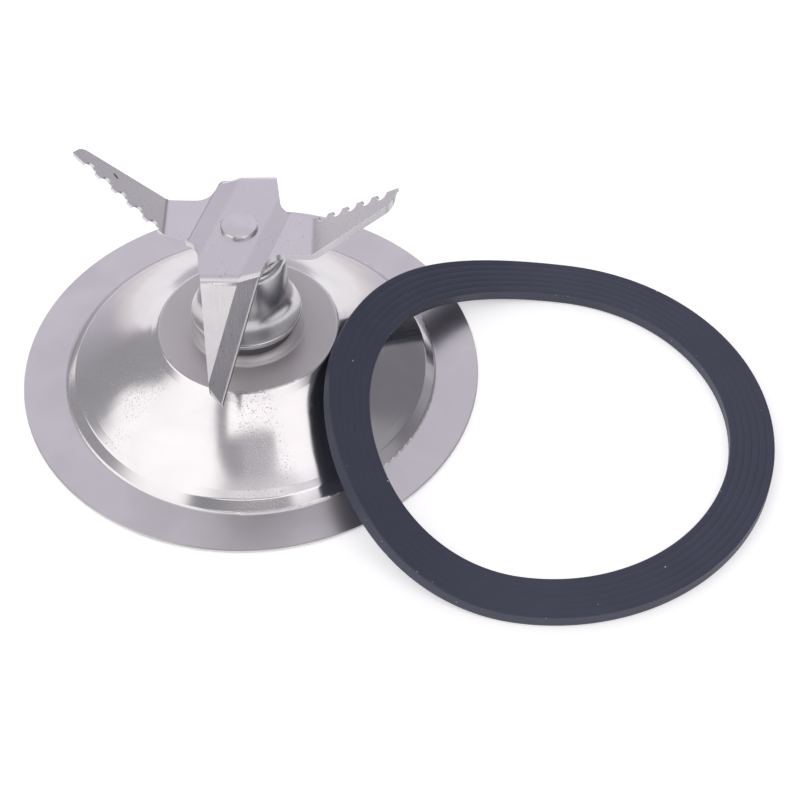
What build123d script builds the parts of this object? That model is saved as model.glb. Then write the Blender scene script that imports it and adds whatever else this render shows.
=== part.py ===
from build123d import *
from math import atan2, cos, hypot, isclose, radians, sin, sqrt, tan
import os

# Blender blade assembly, in millimetres. The shaft's axis is Z and the flange lies on Z = 0.
# Seen from above the blade turns anticlockwise, so each wing leads with its left-hand edge.

# Stamped base plate: radii, and heights of the upper skin above the flange's upper skin
plate_sheet = 0.8
flange_radius = 40.0
step_foot_radius = 32.3
crest_radius = 30.5
crest_rise = 1.6
disc_radius = 15.35
disc_rise = 11.05
boss_radius = 9.7
boss_rise = 1.15
boss_slope = 45.0
cone_hollow = 0.7
cone_curved_share = 0.85
step_foot_fillet = 0.9
crest_fillet = 1.0
disc_edge_fillet = 0.85
boss_foot_fillet = 0.6
boss_top_fillet = 2.6
rim_break = 0.15

# Turned bearing housing: a bell with a flared rim above the plate and a barrel through it
housing_wall = 1.1
bell_radius = 7.4
bell_height = 13.0
bell_edge_fillet = 1.2
rim_radius = 9.45
rim_thickness = 1.15
flare_radius = 3.2
top_wall = 1.3
barrel_end_height = 8.2

# Shaft and bearings
shaft_radius = 3.5
running_clearance = 0.04
bush_wall = 1.5
bush_length = 6.0
bush_inset = 0.3
seal_height = 2.0
seal_lip_height = 0.7
free_gap = 0.6
seat_clearance = 0.03
end_play = 0.3

# Clamping parts under the plate
housing_seal_thickness = 2.45
housing_seal_margin = 1.25
lock_washer_thickness = 1.3
lock_washer_width = 1.3
lock_washer_split = 0.9
nut_height = 2.6
nut_across_flats = 16.0
nut_corner_chamfer = 0.5

# Rotor stack
thrust_washer_radius = 6.8
thrust_washer_thickness = 0.8
spacer_radius = 5.2
spacer_height = 3.3
clip_radius = 5.4
clip_thickness = 0.8
clip_groove_depth = 0.7
clip_mouth = 4.6
drive_across_flats = 5.6
drive_shoulder = 0.6
drive_end_height = 1.0
drive_chamfer = 0.5
tenon_radius = 2.5
tenon_across_flats = 3.9
head_radius = 3.07
head_height = 0.55
head_chamfer = 0.18

# Blade sheet and its bends
blade_sheet = 1.2
bend_radius = 1.6
corner_fillet = 3.2
up_bend_reach = 12.3
up_angle = 42.0
down_bend_reach = 11.6
down_angle = 42.0

# Wing outlines in plan: reach along the wing, and offset towards its leading edge
up_root_half = 6.06
up_lead_at_bend = 1.8
up_trail_at_bend = -6.35
up_tip_reach = 26.0
up_tip_offset = -4.1
up_end_reach = 24.9
up_end_offset = -6.4
up_end_fillet = 1.6
down_root_half = 7.2
down_lead_at_bend = 3.6
down_trail_at_bend = -5.65
down_tip_reach = 26.2
down_tip_offset = -2.1
down_end_reach = 24.6
down_end_offset = -4.25
down_end_fillet = 0.9

# Ground bevels and notches
bevel_width = 3.0
flat_bevel_depth = 0.2
under_bevel_width = 2.4
under_bevel_start = 6.5
edge_land = 0.15
notch_radius = 1.05
notch_pitch = 3.4
notch_count = 5
notch_to_tip = 3.25

# Rubber sealing ring: flat on one half, curled up on the other until it leans on the disc's edge
ring_inner_radius = 31.65
ring_width = 7.55
ring_thickness = 2.4
ring_curl_direction = 170.2
ring_side_offset = 6.15
ring_curl_radius = 55.4
ring_curl_run = 26.8
ring_seat_gap = 0.45
ring_sections = 19

# Heights worked out from the sizes above
flange_top = plate_sheet
crest_top = flange_top + crest_rise
disc_top = flange_top + disc_rise
boss_top = disc_top + boss_rise
boss_underside = boss_top - plate_sheet
rim_base = boss_top + housing_seal_thickness
rim_top = rim_base + rim_thickness
bell_top = rim_top + bell_height
bush_radius = shaft_radius + bush_wall
bore_radius = bush_radius + seat_clearance
barrel_radius = bore_radius + housing_wall
plate_hole_radius = barrel_radius + seat_clearance
bore_top = bell_top - top_wall
upper_bush_top = bore_top - seal_height
upper_bush_base = upper_bush_top - bush_length
lower_bush_base = barrel_end_height + bush_inset
lower_bush_top = lower_bush_base + bush_length
lock_washer_base = boss_underside - lock_washer_thickness
nut_base = lock_washer_base - nut_height
upper_washer_base = bell_top + end_play
spacer_base = upper_washer_base + thrust_washer_thickness
blade_base = spacer_base + spacer_height
blade_middle = blade_base + blade_sheet / 2
blade_top = blade_base + blade_sheet
lower_washer_base = barrel_end_height - end_play - thrust_washer_thickness
clip_base = lower_washer_base - clip_thickness
drive_top = clip_base - drive_shoulder
groove_radius = shaft_radius - clip_groove_depth
shaft_bore_radius = shaft_radius + running_clearance
rotor_bore_radius = shaft_radius + seat_clearance


def ring_section(inner_radius, outer_radius):
    """Add a flat ring to the sketch in hand."""
    Circle(outer_radius)
    Circle(inner_radius, mode=Mode.SUBTRACT)


def double_d(radius, across_flats):
    """Add a disc with two flats to the sketch in hand."""
    Circle(radius)
    Rectangle(across_flats, 2 * radius, mode=Mode.INTERSECT)


def wing_plane(direction, bend_reach, slope):
    """The middle plane of a wing past its bend, X along the wing and Y towards its leading edge."""
    turn = radians(direction)
    tilt = radians(slope)
    along = Vector(cos(turn), sin(turn), 0)
    rising = along * cos(tilt) + Vector(0, 0, sin(tilt))
    normal = Vector(0, 0, cos(tilt)) - along * sin(tilt)
    return Plane(along * bend_reach + Vector(0, 0, blade_middle), x_dir=rising, z_dir=normal)


def edge_plane(wing, foot, slant):
    """A plane square to a leading edge: X goes inwards from the edge and Y up through the sheet."""
    inward = wing.x_dir * -sin(slant) - wing.y_dir * cos(slant)
    along_edge = inward.cross(wing.z_dir)
    return Plane(wing.from_local_coords(Vector(*foot)), x_dir=inward, z_dir=along_edge)


def wing_points(root_half, bend_reach, lead_at_bend, trail_at_bend, trail_end, tip):
    """Corners of one wing in plan, from the blade's centre out along X."""
    return [
        (0, root_half),
        (0, -root_half),
        (bend_reach, trail_at_bend),
        trail_end,
        tip,
        (bend_reach, lead_at_bend),
    ]


def bent_section(plane, bend_reach, slope, tip_reach):
    """Section of a strip that lies flat across the hub and slopes away past the bend at each side."""
    end_reach = tip_reach + blade_sheet
    end_rise = (end_reach - bend_reach) * tan(radians(slope))
    with BuildSketch(plane) as section:
        with BuildLine():
            FilletPolyline(
                (-end_reach, blade_middle + end_rise),
                (-bend_reach, blade_middle),
                (bend_reach, blade_middle),
                (end_reach, blade_middle + end_rise),
                radius=bend_radius + blade_sheet / 2,
            )
        trace(line_width=blade_sheet)
    return section.sketch


# Base plate: one sheet drawn into a flange, a step, a hollow cone, a flat disc and a domed boss.
# Its section follows the middle of the sheet, half a thickness inside the upper skin.
half_plate = plate_sheet / 2
cone_run = crest_radius - disc_radius
cone_climb = disc_top - crest_top
cone_length = hypot(cone_run, cone_climb)
cone_knee = (
    (crest_radius + disc_radius) / 2 - 2 * cone_hollow * cone_climb / cone_length,
    (crest_top + disc_top) / 2 - 2 * cone_hollow * cone_run / cone_length - half_plate,
)
cone_radius = cone_curved_share * cone_length ** 2 / (8 * cone_hollow)
boss_foot = boss_radius - half_plate * tan(radians(boss_slope) / 2)
boss_shoulder = boss_foot - boss_rise / tan(radians(boss_slope))
with BuildPart() as base_plate:
    with BuildSketch(Plane.XZ):
        with BuildLine():
            FilletPolyline(
                (plate_hole_radius, boss_top - half_plate),
                (boss_shoulder, boss_top - half_plate),
                (boss_foot, disc_top - half_plate),
                (disc_radius, disc_top - half_plate),
                cone_knee,
                (crest_radius, crest_top - half_plate),
                (step_foot_radius, flange_top - half_plate),
                (flange_radius, flange_top - half_plate),
                radius=[
                    boss_top_fillet - half_plate,
                    boss_foot_fillet + half_plate,
                    disc_edge_fillet - half_plate,
                    cone_radius,
                    crest_fillet - half_plate,
                    step_foot_fillet + half_plate,
                ],
            )
        trace(line_width=plate_sheet)
    revolve(axis=Axis.Z)
    round_edges = base_plate.edges().filter_by(GeomType.CIRCLE)
    chamfer(round_edges.filter_by(lambda edge: isclose(edge.radius, flange_radius)), rim_break)

# Bearing housing: bell, flared rim and barrel, bored from below and closed by a top wall
flare_rise = sqrt(flare_radius ** 2 - (flare_radius - (rim_radius - bell_radius)) ** 2)
with BuildPart() as bearing_housing:
    with BuildSketch(Plane.XZ) as housing_section:
        with BuildLine():
            Polyline(
                (rim_radius, rim_top),
                (rim_radius, rim_base),
                (barrel_radius, rim_base),
                (barrel_radius, barrel_end_height),
                (bore_radius, barrel_end_height),
                (bore_radius, bore_top),
                (shaft_radius + free_gap, bore_top),
                (shaft_radius + free_gap, bell_top),
                (bell_radius, bell_top),
                (bell_radius, rim_top + flare_rise),
            )
            RadiusArc((bell_radius, rim_top + flare_rise), (rim_radius, rim_top), -flare_radius)
        make_face()
        bell_corner = housing_section.vertices().group_by(Axis.Y)[-1].sort_by(Axis.X)[-1]
        fillet(bell_corner, bell_edge_fillet)
    revolve(axis=Axis.Z)

# Seal washer between the boss and the bell's rim
with BuildPart() as housing_seal_washer:
    with BuildSketch(Plane.XY.offset(boss_top)):
        ring_section(plate_hole_radius, rim_radius - housing_seal_margin)
    extrude(amount=housing_seal_thickness)

# Split lock washer against the underside of the boss
with BuildPart() as lock_washer:
    with BuildSketch(Plane.XY.offset(lock_washer_base)):
        ring_section(plate_hole_radius, plate_hole_radius + lock_washer_width)
        with Locations((plate_hole_radius + lock_washer_width / 2, 0)):
            Rectangle(2 * lock_washer_width, lock_washer_split, mode=Mode.SUBTRACT)
    extrude(amount=lock_washer_thickness)

# Thin hexagon nut on the barrel
nut_corner_radius = nut_across_flats / sqrt(3)
with BuildPart() as housing_nut:
    with BuildSketch(Plane.XZ) as nut_section:
        with Locations((nut_corner_radius / 2, nut_base + nut_height / 2)):
            Rectangle(nut_corner_radius, nut_height)
        chamfer(nut_section.vertices().group_by(Axis.X)[-1], nut_corner_chamfer)
    revolve(axis=Axis.Z)
    with BuildSketch(Plane.XY.offset(nut_base)):
        RegularPolygon(nut_across_flats / 2, 6, major_radius=False)
        Circle(plate_hole_radius, mode=Mode.SUBTRACT)
    extrude(amount=nut_height, mode=Mode.INTERSECT)

# Plain bushes at both ends of the bore, with a felt oil sleeve between them
with BuildPart() as upper_bush:
    with BuildSketch(Plane.XY.offset(upper_bush_base)):
        ring_section(shaft_bore_radius, bush_radius)
    extrude(amount=bush_length)

with BuildPart() as lower_bush:
    with BuildSketch(Plane.XY.offset(lower_bush_base)):
        ring_section(shaft_bore_radius, bush_radius)
    extrude(amount=bush_length)

with BuildPart() as oil_felt:
    with BuildSketch(Plane.XY.offset(lower_bush_top)):
        ring_section(shaft_radius + free_gap, bush_radius)
    extrude(amount=upper_bush_base - lower_bush_top)

# Lip seal under the top wall
with BuildPart() as shaft_seal:
    with BuildSketch(Plane.XZ):
        with BuildLine():
            Polyline(
                (bush_radius, upper_bush_top),
                (bush_radius, bore_top),
                (shaft_bore_radius, bore_top),
                (shaft_bore_radius, bore_top - seal_lip_height),
                (shaft_radius + free_gap, upper_bush_top),
                close=True,
            )
        make_face()
    revolve(axis=Axis.Z)

# Shaft: staked head, double-D tenon, bearing length, clip groove and square drive end
with BuildPart() as drive_shaft:
    with BuildSketch(Plane.XY.offset(drive_end_height)):
        Rectangle(drive_across_flats, drive_across_flats)
        Circle(shaft_radius, mode=Mode.INTERSECT)
    extrude(amount=drive_top - drive_end_height)
    chamfer(drive_shaft.faces().sort_by(Axis.Z)[0].edges(), drive_chamfer)
    with BuildSketch(Plane.XY.offset(drive_top)):
        Circle(shaft_radius)
    extrude(amount=blade_base - drive_top)
    with BuildSketch(Plane.XY.offset(clip_base)):
        ring_section(groove_radius, shaft_radius + free_gap)
    extrude(amount=clip_thickness, mode=Mode.SUBTRACT)
    with BuildSketch(Plane.XY.offset(blade_base)):
        double_d(tenon_radius, tenon_across_flats)
    extrude(amount=blade_sheet)
    with BuildSketch(Plane.XY.offset(blade_top)):
        Circle(head_radius)
    extrude(amount=head_height)
    chamfer(drive_shaft.faces().sort_by(Axis.Z)[-1].edges(), head_chamfer)

# Washers, spacer and clip that turn with the shaft
with BuildPart() as upper_thrust_washer:
    with BuildSketch(Plane.XY.offset(upper_washer_base)):
        ring_section(rotor_bore_radius, thrust_washer_radius)
    extrude(amount=thrust_washer_thickness)

with BuildPart() as spacer_collar:
    with BuildSketch(Plane.XY.offset(spacer_base)):
        ring_section(rotor_bore_radius, spacer_radius)
    extrude(amount=spacer_height)

with BuildPart() as lower_thrust_washer:
    with BuildSketch(Plane.XY.offset(lower_washer_base)):
        ring_section(rotor_bore_radius, clip_radius)
    extrude(amount=thrust_washer_thickness)

with BuildPart() as retaining_clip:
    with BuildSketch(Plane.XY.offset(clip_base)):
        ring_section(groove_radius + seat_clearance, clip_radius)
        with Locations((0, -clip_radius)):
            Rectangle(clip_mouth, 2 * clip_radius, mode=Mode.SUBTRACT)
    extrude(amount=clip_thickness)

# Blade: two crossed bent strips trimmed to one outline, then ground, notched and pierced
up_directions = (0, 180)
down_directions = (90, 270)
up_tip = (up_tip_reach, up_tip_offset)
up_end = (up_end_reach, up_end_offset)
down_tip = (down_tip_reach, down_tip_offset)
down_end = (down_end_reach, down_end_offset)
up_points = wing_points(up_root_half, up_bend_reach, up_lead_at_bend, up_trail_at_bend, up_end, up_tip)
down_points = wing_points(
    down_root_half, down_bend_reach, down_lead_at_bend, down_trail_at_bend, down_end, down_tip
)
up_slant = atan2(up_root_half - up_lead_at_bend, up_bend_reach)
down_slant = atan2(down_root_half - down_lead_at_bend, down_bend_reach)
up_wing_length = (up_tip_reach - up_bend_reach) / cos(radians(up_angle))
down_wing_length = (down_tip_reach - down_bend_reach) / cos(radians(down_angle))
up_wing_slant = atan2(up_lead_at_bend - up_tip_offset, up_wing_length)
down_wing_slant = atan2(down_lead_at_bend - down_tip_offset, down_wing_length)
bevel_depth = blade_sheet - edge_land
half_sheet = blade_sheet / 2
blade_span = 2 * up_tip_reach
bend_sink = (bend_radius + half_sheet) * (1 / cos(radians(down_angle) / 2) - 1)


def end_corners(sketch, corner):
    """The two corners like this one, where a trailing edge meets the end cut."""
    return [v for v in sketch.vertices() if isclose(hypot(v.X, v.Y), hypot(*corner))]


def inner_corners(sketch):
    """The four corners between neighbouring wings, nearest to the axis."""
    return sketch.vertices().sort_by(lambda v: hypot(v.X, v.Y))[:4]


with BuildPart() as blade:
    up_section = bent_section(Plane.XZ, up_bend_reach, up_angle, up_tip_reach)
    extrude(up_section, amount=down_bend_reach - bend_radius, both=True)
    down_section = bent_section(Plane.YZ, down_bend_reach, -down_angle, down_tip_reach)
    extrude(down_section, amount=up_bend_reach - bend_radius, both=True)
    with BuildSketch() as blade_outline:
        for direction in up_directions:
            with Locations(Rotation(0, 0, direction)):
                Polygon(*up_points, align=None)
        for direction in down_directions:
            with Locations(Rotation(0, 0, direction)):
                Polygon(*down_points, align=None)
        fillet(inner_corners(blade_outline), corner_fillet)
        fillet(end_corners(blade_outline, up_end), up_end_fillet)
        fillet(end_corners(blade_outline, down_end), down_end_fillet)
    extrude(amount=blade_top + blade_span, mode=Mode.INTERSECT)

    for direction in down_directions:
        flat_wing = wing_plane(direction, 0, 0)
        bend_wing = wing_plane(direction, down_bend_reach, -down_angle / 2).offset(-bend_sink)
        bent_wing = wing_plane(direction, down_bend_reach, -down_angle)
        flat_edge = edge_plane(flat_wing, (0, down_root_half), down_slant)
        bend_edge = edge_plane(bend_wing, (0, down_lead_at_bend), (down_slant + down_wing_slant) / 2)
        bent_edge = edge_plane(bent_wing, (0, down_lead_at_bend), down_wing_slant)
        bend_depth = (flat_bevel_depth + bevel_depth) / 2
        for edge, depth in ((flat_edge, flat_bevel_depth), (bend_edge, bend_depth), (bent_edge, bevel_depth)):
            with BuildSketch(edge):
                with BuildLine():
                    Polyline(
                        (0, half_sheet - depth),
                        (2 * bevel_width, half_sheet + depth),
                        (0, half_sheet + depth),
                        close=True,
                    )
                make_face()
            extrude(amount=blade_span / 2, both=True, mode=Mode.SUBTRACT)

    for direction in up_directions:
        flat_wing = wing_plane(direction, 0, 0)
        bent_wing = wing_plane(direction, up_bend_reach, up_angle)
        bevel_foot = (under_bevel_start, up_root_half - under_bevel_start * tan(up_slant))
        flat_edge = edge_plane(flat_wing, bevel_foot, up_slant)
        bent_edge = edge_plane(bent_wing, (0, up_lead_at_bend), up_wing_slant)
        for edge in (flat_edge, bent_edge):
            with BuildSketch(edge):
                with BuildLine():
                    Polyline(
                        (0, bevel_depth - half_sheet),
                        (2 * under_bevel_width, -bevel_depth - half_sheet),
                        (0, -bevel_depth - half_sheet),
                        close=True,
                    )
                make_face()
            extrude(amount=-blade_span, mode=Mode.SUBTRACT)
        notch_places = []
        for number in range(notch_count):
            back = notch_to_tip + number * notch_pitch
            notch_along = up_wing_length - back * cos(up_wing_slant)
            notch_places.append((notch_along, up_tip_offset + back * sin(up_wing_slant)))
        with BuildSketch(bent_wing):
            with Locations(*notch_places):
                Circle(notch_radius)
        extrude(amount=blade_sheet, both=True, mode=Mode.SUBTRACT)

    with BuildSketch(Plane.XY.offset(blade_base)):
        double_d(tenon_radius + seat_clearance, tenon_across_flats + 2 * seat_clearance)
    extrude(amount=blade_sheet, mode=Mode.SUBTRACT)

# Sealing ring: the half on the floor is flat, the other half follows a curl and then a straight rise.
# It is slid along the floor towards the shaft until the raised half is a small gap from the plate.
ring_outer_radius = ring_inner_radius + ring_width
curl_turn = radians(ring_curl_direction)
curl_direction = Vector(cos(curl_turn), sin(curl_turn), 0)
ring_angles = [radians(180 * number / (ring_sections - 1) - 90) for number in range(ring_sections)]
skin_corners = [
    (0, disc_top),
    (disc_radius, disc_top),
    (crest_radius, crest_top),
    (step_foot_radius, flange_top),
    (flange_radius, flange_top),
]


def ring_plane(distance):
    """The floor plane at the centre of a ring this far from the shaft, with X along the curl."""
    square = Vector(0, 0, 1).cross(curl_direction)
    centre = square * ring_side_offset - curl_direction * distance
    return Plane(centre, x_dir=curl_direction, z_dir=(0, 0, 1))


def curled(radius, angle, height):
    """A point of the curled ring in its own plane, at a height above its lower skin, and the slope there."""
    flat_along = radius * cos(angle)
    slope = min(flat_along, ring_curl_run) / ring_curl_radius
    straight = max(flat_along - ring_curl_run, 0)
    bend = ring_curl_radius + ring_thickness / 2 - height
    along = bend * sin(slope) + straight * cos(slope)
    rise = ring_curl_radius + ring_thickness / 2 - bend * cos(slope) + straight * sin(slope)
    return Vector(along, radius * sin(angle), rise), slope


def plate_skin(radius):
    """Height of the plate's upper skin at a radius, with straight runs between its bends."""
    for (inner, inner_height), (outer, outer_height) in zip(skin_corners, skin_corners[1:]):
        if radius <= outer:
            return inner_height + (outer_height - inner_height) * (radius - inner) / (outer - inner)
    return 0


def ring_gap(distance):
    """The least height of the ring's lower skin above the plate, or its width where it is off the plate."""
    plane = ring_plane(distance)
    gaps = [ring_width]
    for angle in ring_angles:
        for step in range(ring_sections):
            radius = ring_inner_radius + ring_width * step / (ring_sections - 1)
            point = plane.from_local_coords(curled(radius, angle, 0)[0])
            if hypot(point.X, point.Y) < flange_radius:
                gaps.append(point.Z - plate_skin(hypot(point.X, point.Y)))
    return min(gaps)


near = ring_inner_radius
far = flange_radius + ring_outer_radius
while far - near > seat_clearance / 10:
    middle = (near + far) / 2
    if ring_gap(middle) < ring_seat_gap:
        near = middle
    else:
        far = middle
seated_plane = ring_plane(far)


def curl_plane(angle):
    """The plane of the ring's section at an angle, X outwards across the ring and Y through it."""
    mid_height = ring_thickness / 2
    inner, _ = curled(ring_inner_radius, angle, mid_height)
    middle, slope = curled(ring_inner_radius + ring_width / 2, angle, mid_height)
    outer, _ = curled(ring_outer_radius, angle, mid_height)
    outward = seated_plane.from_local_coords(outer) - seated_plane.from_local_coords(inner)
    normal = seated_plane.z_dir * cos(slope) - seated_plane.x_dir * sin(slope)
    return Plane(
        seated_plane.from_local_coords(middle),
        x_dir=outward.normalized(),
        z_dir=outward.normalized().cross(normal),
    )


with BuildPart() as sealing_ring:
    with BuildSketch(seated_plane):
        ring_section(ring_inner_radius, ring_outer_radius)
        with Locations((-ring_outer_radius, 0)):
            Rectangle(2 * ring_outer_radius, 2 * ring_outer_radius, mode=Mode.INTERSECT)
    extrude(amount=ring_thickness)
    for angle in ring_angles:
        with BuildSketch(curl_plane(angle)):
            Rectangle(ring_width, ring_thickness)
    loft()

pieces = {
    "blade": blade,
    "drive_shaft": drive_shaft,
    "spacer_collar": spacer_collar,
    "upper_thrust_washer": upper_thrust_washer,
    "lower_thrust_washer": lower_thrust_washer,
    "retaining_clip": retaining_clip,
    "base_plate": base_plate,
    "bearing_housing": bearing_housing,
    "upper_bush": upper_bush,
    "lower_bush": lower_bush,
    "oil_felt": oil_felt,
    "shaft_seal": shaft_seal,
    "housing_seal_washer": housing_seal_washer,
    "lock_washer": lock_washer,
    "housing_nut": housing_nut,
    "sealing_ring": sealing_ring,
}
os.makedirs("parts", exist_ok=True)
for name, piece in pieces.items():
    piece.part.label = name
    export_step(piece.part, f"parts/{name}.step")
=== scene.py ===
"""Finished look of a blender blade assembly, laid out as an add-on and run as a script."""

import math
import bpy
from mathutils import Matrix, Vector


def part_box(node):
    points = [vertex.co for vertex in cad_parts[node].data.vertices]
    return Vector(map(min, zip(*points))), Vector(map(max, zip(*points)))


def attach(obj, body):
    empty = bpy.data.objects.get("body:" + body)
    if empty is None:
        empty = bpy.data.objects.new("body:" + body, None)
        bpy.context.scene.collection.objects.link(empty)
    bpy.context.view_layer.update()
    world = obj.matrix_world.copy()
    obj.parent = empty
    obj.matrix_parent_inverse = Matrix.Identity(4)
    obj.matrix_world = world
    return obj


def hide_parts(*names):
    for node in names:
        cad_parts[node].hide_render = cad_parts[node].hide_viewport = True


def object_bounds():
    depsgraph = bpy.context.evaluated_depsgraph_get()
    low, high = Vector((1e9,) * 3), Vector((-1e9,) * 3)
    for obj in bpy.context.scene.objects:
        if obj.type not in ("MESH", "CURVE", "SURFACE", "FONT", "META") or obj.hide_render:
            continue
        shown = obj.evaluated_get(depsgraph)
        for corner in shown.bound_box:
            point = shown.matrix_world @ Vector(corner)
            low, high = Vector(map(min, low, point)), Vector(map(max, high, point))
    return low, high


bl_info = {
    "name": "Blender Blade Assembly",
    "version": (1, 0, 0),
    "blender": (4, 5, 0),
    "location": "View3D > Sidebar > Blade Unit",
    "description": "Dresses the packed blade unit with finished pieces, steel and rubber materials and a stage",
    "category": "Object",
}

import bmesh
import bpy
from bpy.props import FloatProperty, FloatVectorProperty, IntProperty, PointerProperty
from mathutils import Vector

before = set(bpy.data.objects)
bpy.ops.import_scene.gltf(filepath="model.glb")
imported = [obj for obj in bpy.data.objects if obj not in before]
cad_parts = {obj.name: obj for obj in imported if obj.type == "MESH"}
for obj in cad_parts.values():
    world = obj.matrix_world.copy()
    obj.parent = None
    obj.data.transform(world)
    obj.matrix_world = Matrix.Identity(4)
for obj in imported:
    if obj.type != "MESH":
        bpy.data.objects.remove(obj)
cad_low, cad_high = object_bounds()

MILLIMETRE = 0.001

# Zones of the cone that are scuffed: middle and half width, in degrees from the front
SCUFFED_ZONES = ((-66.0, 24.0), (8.0, 13.0))
SCUFFS_ELSEWHERE = 0.08
PIT_STAIN = 0.45

# Painted shade: how far the ground strip, its bands and the line at its edge are darkened towards the blade's darker
# tone, standing in for the darker reflections on their facets
PAINTED_STRIP_SHADE, PAINTED_BAND_SHADE, PAINTED_LINE_SHADE = 0.12, 0.3, 0.3

# The light tent: its grey, then each panel's azimuth from the front, half width, lowest and highest angle, blur, light
TENT_GREY = (0.43, 0.42, 0.45)
TENT_PANELS = (
    (180, 36, 2, 58, 30, (0.84, 0.8, 0.9)),
    (180, 43, -20, 6, 8, (0.97, 0.91, 0.94)),
    (137, 12, 5, 17, 6, (0.62, 0.6, 0.63)),
    (120, 30, 18, 50, 10, (0.25, 0.245, 0.27)),
    (0, 46, -20, 46, 4, (0.33, 0.325, 0.35)),
    (38, 11, -20, 41, 4, (0.23, 0.225, 0.25)),
    (180, 50, 62, 80, 6, (0.75, 0.73, 0.76)),
    (0, 190, 78, 100, 8, (1.25, 1.22, 1.24)),
    (-75, 37, 28, 76, 7, (1.48, 1.45, 1.45)),
    (50, 26, 41, 76, 5, (1.52, 1.48, 1.49)),
    (0, 25, 46.5, 60, 3, (1.6, 1.56, 1.55)),
    (3, 18, 63, 80, 15, (0.66, 0.645, 0.68)),
)


# Properties

def length(name, description, millimetres):
    """A length property, given in millimetres and kept in metres."""
    return FloatProperty(
        name=name,
        description=description,
        default=millimetres * MILLIMETRE,
        precision=5,
        subtype="DISTANCE",
        unit="LENGTH",
    )


def share(name, description, value):
    """A property that goes from nothing at 0 to everything at 1."""
    return FloatProperty(name=name, description=description, default=value, min=0, max=1, subtype="FACTOR")


def colour(name, description, red, green, blue):
    """A linear colour property."""
    return FloatVectorProperty(
        name=name, description=description, default=(red, green, blue), size=3, min=0, max=1, subtype="COLOR"
    )


class PlateFinish(bpy.types.PropertyGroup):
    """Finish of the stamped base plate."""

    steel: colour("Steel", "Clean colour of the stamped sheet", 0.68, 0.665, 0.675)
    dull: colour("Dull patches", "Colour where the sheet has been handled", 0.63, 0.615, 0.625)
    disc: colour("Disc", "Colour of the duller disc and boss in the middle", 0.56, 0.535, 0.545)
    pits: colour("Pits", "Colour inside the pits", 0.3, 0.29, 0.3)
    cone_gloss: share("Cone roughness", "Roughness of the polished cone", 0.13)
    disc_gloss: share("Disc roughness", "Roughness of the disc and boss", 0.4)
    disc_film: share("Disc film", "How much of the disc and boss a dull film hides", 0.5)
    flange_gloss: share("Flange roughness", "Roughness of the satin flange", 0.3)
    disc_edge: length("Disc ends at", "Radius where the disc turns down into the cone", 15.3)
    flange_start: length("Flange starts at", "Radius where the flange leaves the step", 32.3)
    mark_spacing: length("Spinning marks", "Mean spacing of the rings left by forming", 0.22)
    mark_depth: length("Mark depth", "Depth of the rings left by forming", 0.0012)
    pit_depth: length("Pit depth", "Depth of the pits", 0.003)


class HousingFinish(bpy.types.PropertyGroup):
    """Finish of the bell-shaped housing."""

    steel: colour("Steel", "Colour of the polished bell", 0.62, 0.61, 0.62)
    gloss: share("Roughness", "Roughness of the polished bell", 0.2)
    edge_break: length("Edge break", "Rounding of the rim's edges", 0.42)
    bell_radius: length("Bell radius", "Radius of the bell above its flare", 7.4)
    bell_edge: length("Bell's top edge", "Rounding of the bell's top edge", 1.2)
    rim_base: length("Rim's underside", "Height of the rim's underside", 15.45)
    rim_top: length("Rim's top", "Height at which the flare meets the rim", 16.6)
    flare_radius: length("Flare radius", "Radius of the flare between the bell and its rim", 6.5)
    barrel_radius: length("Barrel radius", "Radius of the barrel below the rim", 6.13)
    bore_radius: length("Bore radius", "Radius of the bore for the bushes", 5.03)
    bore_top: length("Bore's top", "Height of the bore's closed end", 28.3)
    shaft_hole: length("Shaft hole", "Radius of the hole in the top wall", 4.1)


class BladeFinish(bpy.types.PropertyGroup):
    """Finish of the stamped and ground blade."""

    steel: colour("Steel", "Clean colour of the blade", 0.7, 0.685, 0.71)
    stain: colour("Stains", "Colour of the small dark marks", 0.16, 0.15, 0.16)
    gloss: share("Roughness", "Roughness of the brushed sheet", 0.25)
    edge_break: length("Edge break", "Rounding of the stamped edges", 0.2)
    flat_top: length("Flat's height", "Height of the blade's flat part", 35.2)
    flat_reach: length("Flat's reach", "Distance from the middle to where the lowered wings start to bend", 10.3)
    band_share: share("Ground band's depth", "Depth of the ground bands as a share of the solid's", 0.3)
    band_inner: length("Ground band from", "Distance of the ground bands' inner edge from the middle", 3.85)
    band_outer: length("Ground band to", "Distance of the ground bands' outer edge from the middle", 6.88)
    band_turn: FloatProperty(
        name="Ground band's slant",
        description="Angle between the ground bands and the lowered wings",
        default=math.radians(17.24),
        subtype="ANGLE",
        unit="ROTATION",
    )
    grain: length("Grain", "Width of the brushed lines", 0.12)
    mark_size: length("Dark mark", "Half length of the dark mark on the raised wing", 0.62)
    mark_place: FloatVectorProperty(
        name="Dark mark's place",
        description="Middle of the dark mark on the raised wing",
        default=(-0.01978, 0.00464, 0.04214),
        size=3,
        precision=5,
        subtype="TRANSLATION",
        unit="LENGTH",
    )


class RotorFinish(bpy.types.PropertyGroup):
    """Finish of the shaft, spacer and thrust washers."""

    steel: colour("Steel", "Colour of the turned parts", 0.7, 0.69, 0.7)
    gloss: share("Roughness", "Roughness of the turned parts", 0.16)
    washers: colour("Washers", "Colour of the ground thrust washers", 0.88, 0.87, 0.88)
    washer_gloss: share("Washer roughness", "Roughness of the ground thrust washers", 0.42)
    edge_break: length("Edge break", "Rounding of the turned edges", 0.1)
    mark_spacing: length("Turning marks", "Mean spacing of the turning marks", 0.12)


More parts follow.
